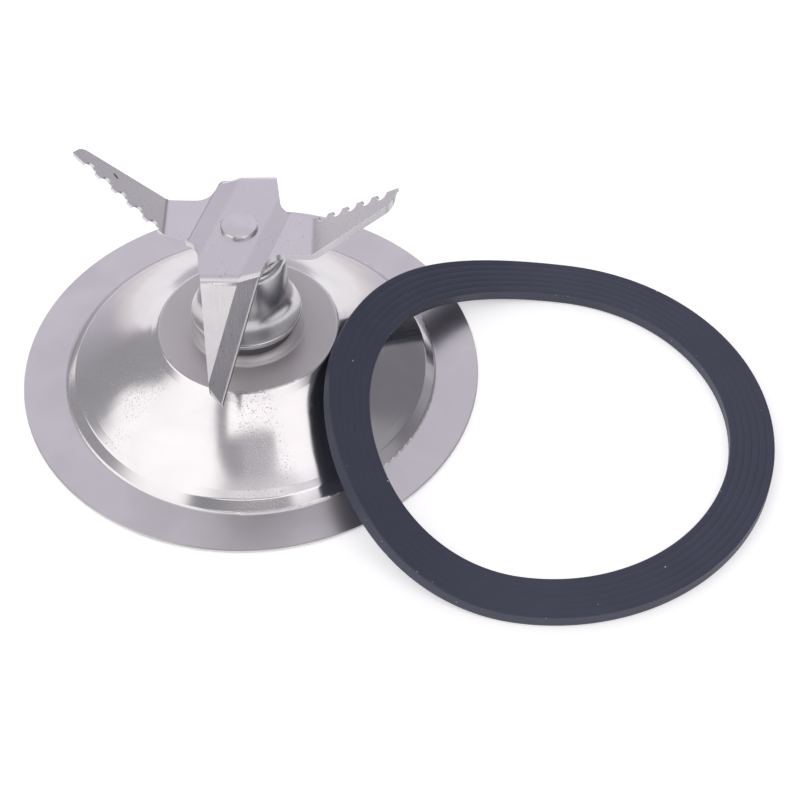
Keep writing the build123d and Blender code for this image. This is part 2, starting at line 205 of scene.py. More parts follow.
class FastenerFinish(bpy.types.PropertyGroup):
    """Finish of the nut, lock washer, clip, bushes, felt and seals."""

    zinc: colour("Zinc", "Colour of the plated nut, washer and clip", 0.58, 0.59, 0.6)
    bronze: colour("Bronze", "Colour of the sintered bushes", 0.62, 0.45, 0.26)
    felt: colour("Felt", "Colour of the oiled felt sleeve", 0.34, 0.28, 0.19)
    rubber: colour("Seals", "Colour of the dark rubber seals", 0.1, 0.097, 0.105)
    grain: length("Grain", "Size of the plating's crystals and the bronze's pores", 0.35)


class RingShape(bpy.types.PropertyGroup):
    """Shape and finish of the rubber sealing ring."""

    inner_radius: length("Inner radius", "Radius of the ring's hole", 31.65)
    width: length("Width", "Width of the ring from hole to rim", 7.55)
    thickness: length("Thickness", "Thickness of the ring", 2.4)
    edge_rounding: length("Edge rounding", "Radius of the ring's moulded edges", 0.22)
    groove_pitch: length("Groove pitch", "Distance between neighbouring grooves", 1.25)
    groove_width: length("Groove width", "Width of each groove", 0.5)
    groove_depth: length("Groove depth", "Depth of each groove", 0.06)
    groove_count: IntProperty(name="Grooves", description="Grooves on each face", default=5, min=1, max=6)
    curl_radius: length("Curl radius", "Radius of the curl of the raised half", 55.4)
    curl_run: length("Curl run", "Length along the ring over which it curls", 26.8)
    curl_turn: FloatProperty(
        name="Curl direction",
        description="Direction from the ring's centre in which it curls up",
        default=math.radians(170.2),
        subtype="ANGLE",
        unit="ROTATION",
    )
    segments: IntProperty(name="Segments", description="Sections round the ring", default=360, min=24, max=720)
    rubber: colour("Rubber", "Colour of the clean rubber", 0.034, 0.039, 0.068)
    bloom: colour("Bloom", "Colour of the pale bloom on the rubber", 0.044, 0.05, 0.086)
    dust: colour("Dust", "Colour of the dust specks", 0.5, 0.48, 0.5)
    gloss: share("Roughness", "Roughness of the rubber", 0.5)


class StageLook(bpy.types.PropertyGroup):
    """Camera, floor and soft light."""

    floor: colour("Floor", "Colour of the floor", 0.86, 0.86, 0.86)
    floor_glow: FloatProperty(name="Floor glow", description="Light that the floor gives off", default=0.45, min=0)
    floor_size: length("Floor size", "Width of the floor", 6000)
    lens: length("Lens", "Focal length of the camera", 85.5)
    sensor: length("Sensor", "Width of the camera's sensor", 36)
    eye: FloatVectorProperty(
        name="Eye",
        description="Place of the camera",
        default=(0.0262, -0.2229, 0.2521),
        size=3,
        precision=4,
        subtype="TRANSLATION",
        unit="LENGTH",
    )
    tilt: FloatProperty(
        name="Tilt",
        description="Angle of the camera from straight down",
        default=math.radians(40.58),
        subtype="ANGLE",
        unit="ROTATION",
    )


# Nodes

def node(tree, kind, feeds=None, **settings):
    """Add a node, set it up, and feed its inputs with links or plain values."""
    made = tree.nodes.new(kind)
    for name, value in settings.items():
        setattr(made, name, value)
    for key, value in (feeds or {}).items():
        if isinstance(value, bpy.types.NodeSocket):
            tree.links.new(value, made.inputs[key])
        else:
            made.inputs[key].default_value = value
    return made


def maths(tree, operation, *terms):
    """A maths node's result."""
    return node(tree, "ShaderNodeMath", dict(enumerate(terms)), operation=operation).outputs[0]


def vector_maths(tree, operation, *terms, result="Vector"):
    """A vector maths node's result."""
    made = node(tree, "ShaderNodeVectorMath", dict(enumerate(terms)), operation=operation)
    return made.outputs[result]


def ease(tree, value, low, high, to_low=0.0, to_high=1.0):
    """A value eased from one range to another, and held beyond its ends."""
    feeds = {"Value": value, "From Min": low, "From Max": high, "To Min": to_low, "To Max": to_high}
    return node(tree, "ShaderNodeMapRange", feeds, interpolation_type="SMOOTHSTEP").outputs["Result"]


def mixed(tree, factor, first, second):
    """Two colours mixed by a factor."""
    made = node(tree, "ShaderNodeMix", {0: factor, 6: rgba(first), 7: rgba(second)}, data_type="RGBA")
    return made.outputs[2]


def noise(tree, place, scale, detail=2.0, roughness=0.5, distortion=0.0):
    """Three-dimensional noise at a place."""
    feeds = {"Vector": place, "Scale": scale, "Detail": detail, "Roughness": roughness, "Distortion": distortion}
    return node(tree, "ShaderNodeTexNoise", feeds).outputs["Fac"]


def rgba(value):
    """A colour with its alpha, or a socket as it is."""
    return value if isinstance(value, bpy.types.NodeSocket) else (*value, 1.0)


def object_place(tree):
    """The place of a point on its own object."""
    return node(tree, "ShaderNodeTexCoord").outputs["Object"]


def new_group(name, inputs, output):
    """A shader group with named number inputs and one number output."""
    tree = bpy.data.node_groups.new(name, "ShaderNodeTree")
    for label, value in inputs.items():
        socket = tree.interface.new_socket(label, in_out="INPUT", socket_type="NodeSocketFloat")
        socket.default_value = value
    tree.interface.new_socket(output, in_out="OUTPUT", socket_type="NodeSocketFloat")
    return tree, node(tree, "NodeGroupInput").outputs, node(tree, "NodeGroupOutput").inputs[output]


def make_turned_marks():
    """Fine rings about the shaft's axis, as turning, spinning and polishing leave them."""
    tree, given, result = new_group("Turned Marks", {"Spacing": 0.0002, "Fade": 0.5}, "Marks")
    place = object_place(tree)
    parts = node(tree, "ShaderNodeSeparateXYZ", {0: place}).outputs
    squares = [maths(tree, "MULTIPLY", part, part) for part in (parts[0], parts[1])]
    square = maths(tree, "ADD", *squares)
    reach = maths(tree, "ADD", maths(tree, "SQRT", square), parts[2])
    rings = node(
        tree,
        "ShaderNodeTexNoise",
        {"W": maths(tree, "DIVIDE", reach, given["Spacing"]), "Scale": 1.0, "Detail": 3.0, "Roughness": 0.7},
        noise_dimensions="1D",
    ).outputs["Fac"]
    patches = ease(tree, noise(tree, place, 120.0), 0.35, 0.65)
    kept = maths(tree, "SUBTRACT", 1.0, maths(tree, "MULTIPLY", given["Fade"], patches))
    swing = maths(tree, "MULTIPLY", maths(tree, "SUBTRACT", rings, 0.5), kept)
    tree.links.new(maths(tree, "ADD", swing, 0.5), result)
    return tree


def make_brushed_grain():
    """Long fine lines along the sheet's Y, as rolling and brushing leave them."""
    tree, given, result = new_group("Brushed Grain", {"Width": 0.00012, "Stretch": 40.0}, "Grain")
    across = maths(tree, "DIVIDE", 1.0, given["Width"])
    along = maths(tree, "DIVIDE", across, given["Stretch"])
    scale = node(tree, "ShaderNodeCombineXYZ", {0: across, 1: along, 2: along}).outputs[0]
    place = node(tree, "ShaderNodeMapping", {"Vector": object_place(tree), "Scale": scale}).outputs[0]
    tree.links.new(noise(tree, place, 1.0, detail=4.0, roughness=0.6), result)
    return tree


def make_smudges():
    """Soft cloudy patches left by handling."""
    tree, given, result = new_group("Handling Smudges", {"Size": 0.01, "Softness": 0.3}, "Smudge")
    scale = maths(tree, "DIVIDE", 1.0, given["Size"])
    clouds = noise(tree, object_place(tree), scale, detail=3.0, roughness=0.55, distortion=0.6)
    half = maths(tree, "MULTIPLY", given["Softness"], 0.5)
    low = maths(tree, "SUBTRACT", 0.5, half)
    high = maths(tree, "ADD", 0.5, half)
    tree.links.new(ease(tree, clouds, low, high), result)
    return tree


def make_pits():
    """Clusters of small pits."""
    tree, given, result = new_group(
        "Fine Pits", {"Size": 0.0004, "Cluster": 0.008, "Cover": 0.16, "Cluster Edge": 0.52}, "Pits"
    )
    place = object_place(tree)
    fine = noise(tree, place, maths(tree, "DIVIDE", 1.0, given["Size"]), detail=1.0, roughness=0.5, distortion=0.2)
    clouds = noise(tree, place, maths(tree, "DIVIDE", 1.0, given["Cluster"]), detail=1.0)
    crowd = ease(tree, clouds, given["Cluster Edge"], maths(tree, "ADD", given["Cluster Edge"], 0.14))
    bar = maths(tree, "SUBTRACT", 0.82, maths(tree, "MULTIPLY", given["Cover"], crowd))
    tree.links.new(ease(tree, maths(tree, "SUBTRACT", fine, bar), 0.0, 0.05), result)
    return tree


def make_dust():
    """Sparse specks of dust."""
    tree, given, result = new_group("Dust Specks", {"Spacing": 0.0016, "Speck": 0.00012, "Share": 0.5}, "Specks")
    cells = node(
        tree,
        "ShaderNodeTexVoronoi",
        {"Vector": object_place(tree), "Scale": maths(tree, "DIVIDE", 1.0, given["Spacing"])},
    ).outputs
    near = maths(tree, "MULTIPLY", cells["Distance"], given["Spacing"])
    chance = node(tree, "ShaderNodeSeparateColor", {0: cells["Color"]}).outputs
    speck = maths(tree, "MULTIPLY", given["Speck"], maths(tree, "ADD", chance[1], 0.35))
    spot = ease(tree, near, speck, maths(tree, "MULTIPLY", speck, 0.5))
    kept = maths(tree, "LESS_THAN", chance[0], given["Share"])
    tree.links.new(maths(tree, "MULTIPLY", spot, kept), result)
    return tree


def make_soft_panel():
    """A soft-edged panel of the light tent, by its azimuth from the front and its height, in degrees."""
    tree, given, result = new_group(
        "Soft Panel", {"Azimuth": 0.0, "Half Width": 30.0, "Low": 20.0, "High": 60.0, "Blur": 6.0}, "Panel"
    )
    sky = vector_maths(tree, "NORMALIZE", node(tree, "ShaderNodeTexCoord").outputs["Generated"])
    parts = node(tree, "ShaderNodeSeparateXYZ", {0: sky}).outputs
    turn = maths(tree, "DEGREES", maths(tree, "ARCTAN2", parts[0], maths(tree, "MULTIPLY", parts[1], -1.0)))
    climb = maths(tree, "DEGREES", maths(tree, "ARCSINE", parts[2]))
    apart = maths(tree, "WRAP", maths(tree, "SUBTRACT", turn, given["Azimuth"]), 180.0, -180.0)
    half = maths(tree, "MULTIPLY", given["Blur"], 0.5)
    panel = None
    for past in (
        maths(tree, "SUBTRACT", maths(tree, "ABSOLUTE", apart), given["Half Width"]),
        maths(tree, "SUBTRACT", given["Low"], climb),
        maths(tree, "SUBTRACT", climb, given["High"]),
    ):
        inside = ease(tree, past, half, maths(tree, "MULTIPLY", half, -1.0))
        panel = inside if panel is None else maths(tree, "MULTIPLY", panel, inside)
    tree.links.new(panel, result)
    return tree


GROUP_MAKERS = {
    "Turned Marks": make_turned_marks,
    "Brushed Grain": make_brushed_grain,
    "Handling Smudges": make_smudges,
    "Fine Pits": make_pits,
    "Dust Specks": make_dust,
    "Soft Panel": make_soft_panel,
}


def effect(tree, name, **values):
    """Place a shared group with its own values and return its result."""
    group = bpy.data.node_groups.get(name) or GROUP_MAKERS[name]()
    made = node(tree, "ShaderNodeGroup", node_tree=group)
    for label, value in values.items():
        made.inputs[label.replace("_", " ").title()].default_value = value
    return made.outputs[0]


def new_material(name, **constants):
    """A material with a Principled shader and its constant sockets set."""
    material = bpy.data.materials.new(name)
    material.use_nodes = True
    shader = material.node_tree.nodes["Principled BSDF"]
    for label, value in constants.items():
        shader.inputs[label.replace("_", " ").title().replace("Ior", "IOR")].default_value = value
    return material, material.node_tree, shader


def dress(tree, shader, base=None, roughness=None, height=None, depth=0.0):
    """Link colour, roughness and a bump of this depth to a shader."""
    if base is not None:
        tree.links.new(base, shader.inputs["Base Color"])
    if roughness is not None:
        tree.links.new(roughness, shader.inputs["Roughness"])
    if height is not None:
        bump = node(tree, "ShaderNodeBump", {"Strength": 1.0, "Distance": depth, "Height": height})
        tree.links.new(bump.outputs[0], shader.inputs["Normal"])


# Materials

def plate_steel(finish):
    """Stamped sheet: a polished cone with fine pits, a duller disc and a satin flange."""
    material, tree, shader = new_material("plate_steel")
    place = object_place(tree)
    parts = node(tree, "ShaderNodeSeparateXYZ", {0: place}).outputs
    reach = vector_maths(
        tree, "LENGTH", node(tree, "ShaderNodeCombineXYZ", {0: parts[0], 1: parts[1]}).outputs[0], result="Value"
    )
    on_flange = ease(tree, reach, finish.flange_start - 0.0004, finish.flange_start + 0.0004)
    on_disc = ease(tree, reach, finish.disc_edge + 0.0003, finish.disc_edge - 0.0003)
    on_cone = maths(tree, "SUBTRACT", 1.0, maths(tree, "MAXIMUM", on_flange, on_disc))
    marks = effect(tree, "Turned Marks", spacing=finish.mark_spacing, fade=0.6)
    smudge = effect(tree, "Handling Smudges", size=0.013, softness=0.4)
    pits = effect(tree, "Fine Pits", size=0.00028, cluster=0.009, cover=0.2, cluster_edge=0.3)
    turn = maths(tree, "DEGREES", maths(tree, "ARCTAN2", parts[0], maths(tree, "MULTIPLY", parts[1], -1.0)))
    scuffed = SCUFFS_ELSEWHERE
    for middle, half in SCUFFED_ZONES:
        apart = maths(tree, "ABSOLUTE", maths(tree, "SUBTRACT", turn, middle))
        scuffed = maths(tree, "ADD", scuffed, ease(tree, apart, half, half * 0.4))
    pits = maths(tree, "MULTIPLY", pits, maths(tree, "MULTIPLY", scuffed, on_cone))
    clean = mixed(tree, on_disc, mixed(tree, smudge, finish.steel, finish.dull), finish.disc)
    base = mixed(tree, maths(tree, "MULTIPLY", pits, PIT_STAIN), clean, finish.pits)
    gloss = finish.cone_gloss
    for zone, rough in ((on_flange, finish.flange_gloss), (on_disc, finish.disc_gloss)):
        gloss = maths(tree, "ADD", gloss, maths(tree, "MULTIPLY", zone, rough - finish.cone_gloss))
    gloss = maths(tree, "ADD", gloss, maths(tree, "MULTIPLY", smudge, 0.02))
    gloss = maths(tree, "ADD", gloss, maths(tree, "MULTIPLY", maths(tree, "SUBTRACT", marks, 0.5), 0.08))
    gloss = maths(tree, "ADD", gloss, maths(tree, "MULTIPLY", pits, 0.15))
    height = maths(tree, "ADD", marks, noise(tree, place, 90.0, detail=2.0))
    height = maths(tree, "SUBTRACT", height, maths(tree, "MULTIPLY", pits, finish.pit_depth / finish.mark_depth))
    dress(tree, shader, base, gloss, height, finish.mark_depth)
    bare = maths(tree, "SUBTRACT", 1.0, maths(tree, "MULTIPLY", on_disc, finish.disc_film))
    tree.links.new(bare, shader.inputs["Metallic"])
    return material


def turned_steel(name, steel, gloss, spacing, pitted):
    """Turned and polished steel with fine rings and light smudges."""
    material, tree, shader = new_material(name, metallic=1.0)
    marks = effect(tree, "Turned Marks", spacing=spacing, fade=0.4)
    smudge = effect(tree, "Handling Smudges", size=0.006, softness=0.4)
    pits = effect(tree, "Fine Pits", size=0.0003, cluster=0.005, cover=pitted, cluster_edge=0.54)
    worn = [channel * 0.86 for channel in steel]
    base = mixed(tree, pits, mixed(tree, smudge, steel, worn), (0.12, 0.12, 0.13))
    rough = maths(tree, "ADD", gloss, maths(tree, "MULTIPLY", smudge, 0.05))
    rough = maths(tree, "ADD", rough, maths(tree, "MULTIPLY", maths(tree, "SUBTRACT", marks, 0.5), 0.12))
    dress(tree, shader, base, rough, marks, 0.000002)
    return material


def blade_steel(finish):
    """Brushed sheet with long grain, a few specks, one dark mark on the raised wing, and painted shade darkening the
    ground strip, its bands and the line at its edge.
    """
    material, tree, shader = new_material("blade_steel", metallic=1.0)
    grain = effect(tree, "Brushed Grain", width=finish.grain, stretch=45.0)
    smudge = effect(tree, "Handling Smudges", size=0.009, softness=0.4)
    specks = effect(tree, "Fine Pits", size=0.0003, cluster=0.006, cover=0.12, cluster_edge=0.5)
    away = vector_maths(tree, "SUBTRACT", object_place(tree), tuple(finish.mark_place))
    along = tuple(Vector((0.6, -0.58, -0.55)).normalized())
    down = vector_maths(tree, "DOT_PRODUCT", away, along, result="Value")
    beside = maths(
        tree,
        "SQRT",
        maths(
            tree,
            "SUBTRACT",
            vector_maths(tree, "DOT_PRODUCT", away, away, result="Value"),
            maths(tree, "MULTIPLY", down, down),
        ),
    )
    oval = maths(
        tree,
        "ADD",
        maths(tree, "POWER", maths(tree, "DIVIDE", down, finish.mark_size), 2.0),
        maths(tree, "POWER", maths(tree, "DIVIDE", beside, finish.mark_size * 0.4), 2.0),
    )
    stains = maths(tree, "MAXIMUM", specks, ease(tree, oval, 1.3, 0.6))
    worn = [channel * 0.95 for channel in finish.steel]
    streaked = mixed(tree, ease(tree, grain, 0.25, 0.75), worn, finish.steel)
    parts = node(tree, "ShaderNodeSeparateXYZ", {0: object_place(tree)}).outputs
    aside = maths(
        tree,
        "SUBTRACT",
        maths(tree, "MULTIPLY", parts[0], math.cos(finish.band_turn)),
        maths(tree, "MULTIPLY", parts[1], math.sin(finish.band_turn)),
    )
    aside = maths(tree, "ABSOLUTE", aside)
    band = maths(
        tree,
        "MULTIPLY",
        ease(tree, aside, finish.band_inner - 0.0003, finish.band_inner + 0.0003),
        ease(tree, aside, finish.band_outer + 0.00004, finish.band_outer - 0.00004),
    )
    line = ease(tree, maths(tree, "ABSOLUTE", maths(tree, "SUBTRACT", aside, finish.band_outer)), 0.00016, 0.00004)
    on_top = ease(tree, parts[2], finish.flat_top - 0.0006, finish.flat_top - 0.0003)
    strip = ease(tree, aside, finish.band_outer + 0.00004, finish.band_outer - 0.00004)
    # Painted shade: the ground strip, its bands and the line at its edge are darkened in colour, standing in for the
    # darker reflections on their facets
    ground = maths(tree, "ADD", maths(tree, "MULTIPLY", band, PAINTED_BAND_SHADE), maths(tree, "MULTIPLY", line, PAINTED_LINE_SHADE))
    ground = maths(tree, "ADD", ground, maths(tree, "MULTIPLY", strip, PAINTED_STRIP_SHADE))
    # Painted shade: the darker tone that the ground strip, its bands and the line go towards
    dark = [channel * 0.7 for channel in finish.steel]
    swept = mixed(tree, smudge, streaked, worn)
    swept = mixed(tree, maths(tree, "MULTIPLY", ground, on_top), swept, dark)
    base = mixed(tree, stains, swept, finish.stain)
    rough = maths(tree, "ADD", finish.gloss, maths(tree, "MULTIPLY", maths(tree, "SUBTRACT", grain, 0.5), 0.12))
    rough = maths(tree, "ADD", rough, maths(tree, "MULTIPLY", smudge, 0.03))
    dress(tree, shader, base, rough, grain, 0.0000018)
    return material


def zinc_plate(finish):
    """Zinc plating with a faint spangle."""
    material, tree, shader = new_material("fastener_steel", metallic=1.0)
    cells = node(tree, "ShaderNodeTexVoronoi", {"Vector": object_place(tree), "Scale": 1.0 / finish.grain}).outputs
    spangle = node(tree, "ShaderNodeSeparateColor", {0: cells["Color"]}).outputs[0]
    smudge = effect(tree, "Handling Smudges", size=0.004, softness=0.4)
    dark = [channel * 0.8 for channel in finish.zinc]
    base = mixed(tree, smudge, mixed(tree, spangle, finish.zinc, dark), dark)
    rough = maths(tree, "ADD", 0.26, maths(tree, "MULTIPLY", spangle, 0.16))
    dress(tree, shader, base, rough, spangle, 0.000003)
    return material


def bush_bronze(finish):
    """Sintered bronze with open pores."""
    material, tree, shader = new_material("bush_bronze", metallic=1.0)
    pores = effect(tree, "Fine Pits", size=finish.grain, cluster=0.003, cover=0.3, cluster_edge=0.4)
    smudge = effect(tree, "Handling Smudges", size=0.003, softness=0.5)
    dark = [channel * 0.7 for channel in finish.bronze]
    base = mixed(tree, pores, mixed(tree, smudge, finish.bronze, dark), (0.1, 0.07, 0.04))
    rough = maths(tree, "ADD", 0.38, maths(tree, "MULTIPLY", pores, 0.3))
    dress(tree, shader, base, rough, maths(tree, "SUBTRACT", 1.0, pores), 0.00003)
    return material


def oiled_felt(finish):
    """Pressed wool felt, darker where oil has soaked in."""
    material, tree, shader = new_material("felt", sheen_weight=0.3, sheen_roughness=0.5)
    place = object_place(tree)
    fibres = noise(tree, place, 4000.0, detail=4.0, roughness=0.7, distortion=2.0)
    soaked = effect(tree, "Handling Smudges", size=0.003, softness=0.5)
    dark = [channel * 0.5 for channel in finish.felt]
    base = mixed(tree, maths(tree, "MULTIPLY", soaked, 0.7), mixed(tree, fibres, dark, finish.felt), dark)
    rough = maths(tree, "SUBTRACT", 0.95, maths(tree, "MULTIPLY", soaked, 0.3))
    dress(tree, shader, base, rough, fibres, 0.0001)
    return material


def black_rubber(finish):
    """Moulded black rubber with a fine grain and a little dust."""
    material, tree, shader = new_material("black_rubber")
    place = object_place(tree)
    grain = noise(tree, place, 6000.0, detail=3.0)
    dust = effect(tree, "Dust Specks", spacing=0.0009, speck=0.00007, share=0.3)
    pale = [channel * 1.3 for channel in finish.rubber]
    base = mixed(tree, dust, mixed(tree, grain, finish.rubber, pale), (0.3, 0.3, 0.3))
    rough = maths(tree, "ADD", 0.45, maths(tree, "MULTIPLY", grain, 0.25))
    dress(tree, shader, base, rough, grain, 0.00002)
    return material


def ring_rubber(shape):
    """Slate grey rubber with moulding lines, pale bloom and specks of dust along its edges."""
    material, tree, shader = new_material("ring_rubber", specular_ior_level=0.5)
    place = object_place(tree)
    flat = node(tree, "ShaderNodeAttribute", attribute_name="flat_place").outputs["Vector"]
    parts = node(tree, "ShaderNodeSeparateXYZ", {0: flat}).outputs
    reach = vector_maths(
        tree, "LENGTH", node(tree, "ShaderNodeCombineXYZ", {0: parts[0], 1: parts[1]}).outputs[0], result="Value"
    )
    lines = node(
        tree,
        "ShaderNodeTexNoise",
        {"W": maths(tree, "DIVIDE", reach, 0.00025), "Scale": 1.0, "Detail": 2.0},
        noise_dimensions="1D",
    ).outputs["Fac"]
    middle = shape.inner_radius + shape.width / 2
    off_middle = maths(tree, "ABSOLUTE", maths(tree, "SUBTRACT", reach, middle))
    at_edge = ease(tree, off_middle, shape.width / 2 - 0.0006, shape.width / 2)
    bloom = effect(tree, "Handling Smudges", size=0.008, softness=0.5)
    dust = effect(tree, "Dust Specks", spacing=0.0022, speck=0.00016, share=0.35)
    edge_dust = effect(tree, "Dust Specks", spacing=0.0012, speck=0.00014, share=0.5)
    grain = noise(tree, place, 5000.0, detail=3.0)
    pale = maths(tree, "MULTIPLY", maths(tree, "ADD", bloom, lines), 0.5)
    base = mixed(tree, pale, shape.rubber, shape.bloom)
    specks = maths(tree, "MAXIMUM", dust, maths(tree, "MULTIPLY", edge_dust, at_edge))
    base = mixed(tree, specks, base, shape.dust)
    rough = maths(tree, "ADD", shape.gloss, maths(tree, "MULTIPLY", maths(tree, "SUBTRACT", grain, 0.5), 0.2))
    rough = maths(tree, "ADD", rough, maths(tree, "MULTIPLY", specks, 0.3))
    height = maths(tree, "ADD", grain, maths(tree, "MULTIPLY", lines, 0.6))
    dress(tree, shader, base, rough, height, 0.000012)
    return material


def pale_floor(look):
    """Plain pale floor."""
    material, _, shader = new_material(
        "pale_floor", roughness=1.0, specular_ior_level=0.0, emission_strength=look.floor_glow
    )
    shader.inputs["Base Color"].default_value = rgba(look.floor)
    shader.inputs["Emission Color"].default_value = (1.0, 1.0, 1.0, 1.0)
    return material


# Meshes

def cad_node(name):
    """A node of the frame, or an error if the frame has none of that name."""
    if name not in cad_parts:
        raise RuntimeError(f"The frame has no node called {name}")
    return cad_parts[name]


def cover(material, *names):
    """Give CAD nodes a material."""
    for name in names:
        target = cad_node(name)
        if not target.material_slots:
            raise RuntimeError(f"{name} has no material slot")
        for place in target.material_slots:
            place.material = material


def plain_mesh(holder):
    """An object's mesh with its modifiers applied. The object is removed."""
    graph = bpy.context.evaluated_depsgraph_get()
    mesh = bpy.data.meshes.new_from_object(
        holder.evaluated_get(graph), preserve_all_data_layers=True, depsgraph=graph
    )
    bpy.data.objects.remove(holder)
    return mesh


def hold(name, mesh):
    """A mesh as an object in the scene."""
    holder = bpy.data.objects.new(name, mesh)
    bpy.context.scene.collection.objects.link(holder)
    return holder


def add_piece(name, mesh, material, body, slot, *replaced):
    """Put a finished mesh in the scene, on its body and in place of its CAD nodes."""
    if not mesh.polygons:
        raise RuntimeError(f"{name} came out with no faces")
    mesh.name = name
    mesh.materials.clear()
    mesh.materials.append(material)
    piece = hold(name, mesh)
    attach(piece, body)
    if replaced:
        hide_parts(*replaced)
    return piece


def face_outwards(mesh):
    """Turn a closed mesh's faces outwards."""
    work = bmesh.new()
    work.from_mesh(mesh)
    bmesh.ops.recalc_face_normals(work, faces=work.faces)
    work.to_mesh(mesh)
    work.free()


def arc(across, height, radius, start, end, steps=6):
    """Points on an arc about a middle, between two angles in degrees."""
    angles = [math.radians(start + (end - start) * step / steps) for step in range(steps + 1)]
    return [(across + radius * math.cos(angle), height + radius * math.sin(angle)) for angle in angles]


def lathe(name, section, segments=160):
    """A closed shape turned about the shaft's axis from a closed half section of radius and height."""
    mesh = bpy.data.meshes.new(name)
    places = []
    for turn in range(segments):
        angle = 2 * math.pi * turn / segments
        places += [(reach * math.cos(angle), reach * math.sin(angle), height) for reach, height in section]
    size = len(section)
    faces = []
    for turn in range(segments):
        here, there = turn * size, (turn + 1) % segments * size
        for number in range(size):
            after = (number + 1) % size
            faces.append((here + number, there + number, there + after, here + after))
    mesh.from_pydata(places, [], faces)
    face_outwards(mesh)
    mesh.shade_smooth()
    mesh.set_sharp_from_angle(angle=math.radians(35))
    return mesh


def edged_copy(name, width, sharp=30.0, rounded=30.0, least_face=0.0, reshape=None):
    """A copy of a CAD node with its triangles joined, its flats made whole and its edges rounded.

    Edges sharper than rounded, between faces larger than least_face, are rounded. Reshape first moves each place.
    """
    mesh = bpy.data.meshes.new(name)
    work = bmesh.new()
    work.from_mesh(cad_node(name).data)
    bmesh.ops.remove_doubles(work, verts=work.verts, dist=1e-6)
    bmesh.ops.dissolve_limit(work, angle_limit=math.radians(0.2), verts=work.verts, edges=work.edges)
    weights = work.edges.layers.float.new("bevel_weight_edge")
    for edge in work.edges:
        large = min((face.calc_area() for face in edge.link_faces), default=0.0) > least_face
        if large and edge.calc_face_angle(0.0) > math.radians(rounded):
            edge[weights] = 1.0
    if reshape is not None:
        for vertex in work.verts:
            vertex.co = reshape(vertex.co)
    work.to_mesh(mesh)
    work.free()
    mesh.shade_smooth()
    mesh.set_sharp_from_angle(angle=math.radians(sharp))
    holder = hold(name + "_holder", mesh)
    bevel = holder.modifiers.new("Edge break", "BEVEL")
    bevel.width = width
    bevel.segments = 3
    bevel.limit_method = "WEIGHT"
    flats = holder.modifiers.new("Flat faces", "WEIGHTED_NORMAL")
    flats.keep_sharp = True
    flats.weight = 90
    return plain_mesh(holder)


def new_shape_tree(name, inputs):
    """A geometry tree with a mesh in and out and named inputs, given as kind and name."""
    tree = bpy.data.node_groups.new(name, "GeometryNodeTree")
    tree.interface.new_socket("Geometry", in_out="INPUT", socket_type="NodeSocketGeometry")
    for label, kind in inputs.items():
        tree.interface.new_socket(label, in_out="INPUT", socket_type="NodeSocket" + kind)
    tree.interface.new_socket("Geometry", in_out="OUTPUT", socket_type="NodeSocketGeometry")
    return tree, node(tree, "NodeGroupInput").outputs, node(tree, "NodeGroupOutput").inputs["Geometry"]


def end_shape(tree, shape, material, result):
    """End a geometry tree in real geometry with its material."""
    real = node(tree, "GeometryNodeRealizeInstances", {"Geometry": shape}).outputs[0]
    coated = node(tree, "GeometryNodeSetMaterial", {"Geometry": real, "Material": material}).outputs[0]
    tree.links.new(coated, result)


def run_tree(name, tree, mesh, values):
    """Run a geometry tree on a mesh with these named values and return the result as a plain mesh."""
    holder = hold(name + "_holder", mesh)
    modifier = holder.modifiers.new(name, "NODES")
    modifier.node_group = tree
    keys = {item.name: item.identifier for item in tree.interface.items_tree if item.in_out == "INPUT"}
    for label, value in values.items():
        modifier[keys[label]] = value
    return plain_mesh(holder)


